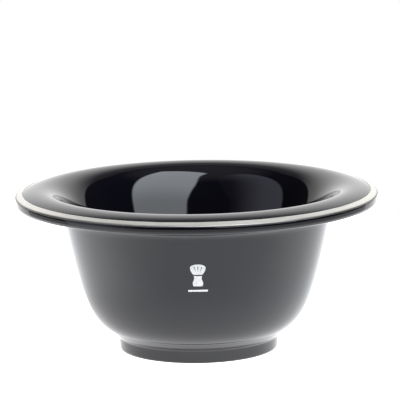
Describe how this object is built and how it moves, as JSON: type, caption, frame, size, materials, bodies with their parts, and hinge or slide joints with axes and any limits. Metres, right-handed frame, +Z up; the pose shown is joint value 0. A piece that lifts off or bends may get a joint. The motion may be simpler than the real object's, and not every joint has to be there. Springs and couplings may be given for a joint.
{
  "type": "shaving bowl",
  "caption": "Low round glazed porcelain bowl for working up shaving lather, with a wide rolled rim, a metallic line on the lip and a foot ring.",
  "frame": {"origin": "centre of the standing face at the bottom of the foot ring", "axes": "+Z up along the bowl's axis; the printed emblem faces -Y"},
  "size_m": [0.13, 0.13, 0.0587],
  "materials": {
    "bare_porcelain": "matt bare fired porcelain",
    "black_glaze": "high gloss black glaze",
    "platinum": "bright fired platinum lustre",
    "white_print": "satin white ceramic print"
  },
  "bodies": {
    "root": {"clay_body": "bare_porcelain", "glaze_coat": "black_glaze", "recess_glaze": "black_glaze", "platinum_band": "platinum", "emblem_tuft": "white_print", "emblem_handle": "white_print", "emblem_bar": "white_print"}
  },
  "joints": []
}
